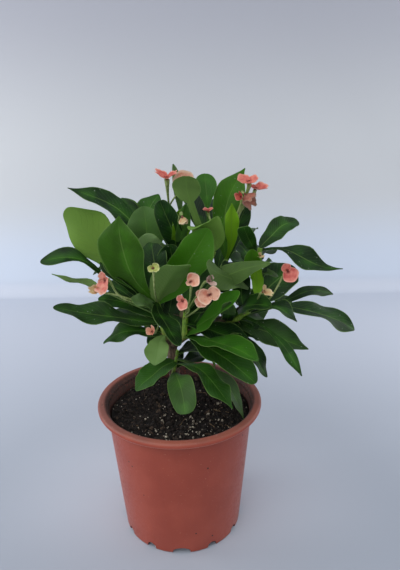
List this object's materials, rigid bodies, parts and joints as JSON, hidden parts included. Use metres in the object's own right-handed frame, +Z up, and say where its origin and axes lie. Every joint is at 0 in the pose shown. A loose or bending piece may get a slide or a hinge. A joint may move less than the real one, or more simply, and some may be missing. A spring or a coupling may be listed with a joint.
{
  "type": "crown of thorns plant in a pot",
  "caption": "Bushy crown of thorns plant with waved spoon-shaped leaves, thorny stems and small peach and pink blooms, standing in a terracotta-coloured plastic nursery pot of dark soil.",
  "frame": {"origin": "middle of the flat pad under the pot, on the surface that the pot stands on", "axes": "+Z up along the pot's axis, -Y towards the front of the plant, +X to its right"},
  "size_m": [0.2264, 0.1723, 0.2932],
  "materials": {
    "terracotta_plastic": "satin moulded plastic, dusty",
    "potting_soil": "moist crumbly peat with perlite",
    "brown_bark": "dull thorny bark",
    "green_leaf": "waxy leaf, satin",
    "peach_bract": "soft matt petal",
    "pink_bract": "soft matt petal",
    "cream_bract": "fading matt petal",
    "lime_bract": "young matt petal"
  },
  "bodies": {
    "root": {"pot": "terracotta_plastic", "potting_soil": "potting_soil", "woody_stem": "brown_bark", "leafy_stem_left": "green_leaf", "leafy_stem_back_left": "green_leaf", "leafy_stem_centre": "green_leaf", "leafy_stem_top": "green_leaf", "leafy_stem_top_right": "green_leaf", "leafy_stem_right": "green_leaf", "leafy_stem_right_low": "green_leaf", "leafy_stem_front": "green_leaf", "leafy_stem_low": "green_leaf", "bloom_outer_left": "pink_bract", "bloom_outer_left_low": "peach_bract", "bloom_lime": "lime_bract", "bloom_inner_left": "peach_bract", "bloom_top_left": "pink_bract", "bloom_top_left_right": "peach_bract", "bloom_drying": "cream_bract", "bloom_top_middle": "peach_bract", "bloom_top_right": "peach_bract", "bloom_top_right_outer": "pink_bract", "bloom_top_right_low": "pink_bract", "bloom_top_right_bud": "pink_bract", "bloom_cream": "cream_bract", "bloom_right": "pink_bract", "bloom_right_fading": "cream_bract", "bloom_middle_pale": "peach_bract", "bloom_front_upper": "peach_bract", "bloom_front_left": "peach_bract", "bloom_front_middle": "peach_bract", "bloom_front_right": "peach_bract"}
  },
  "joints": []
}
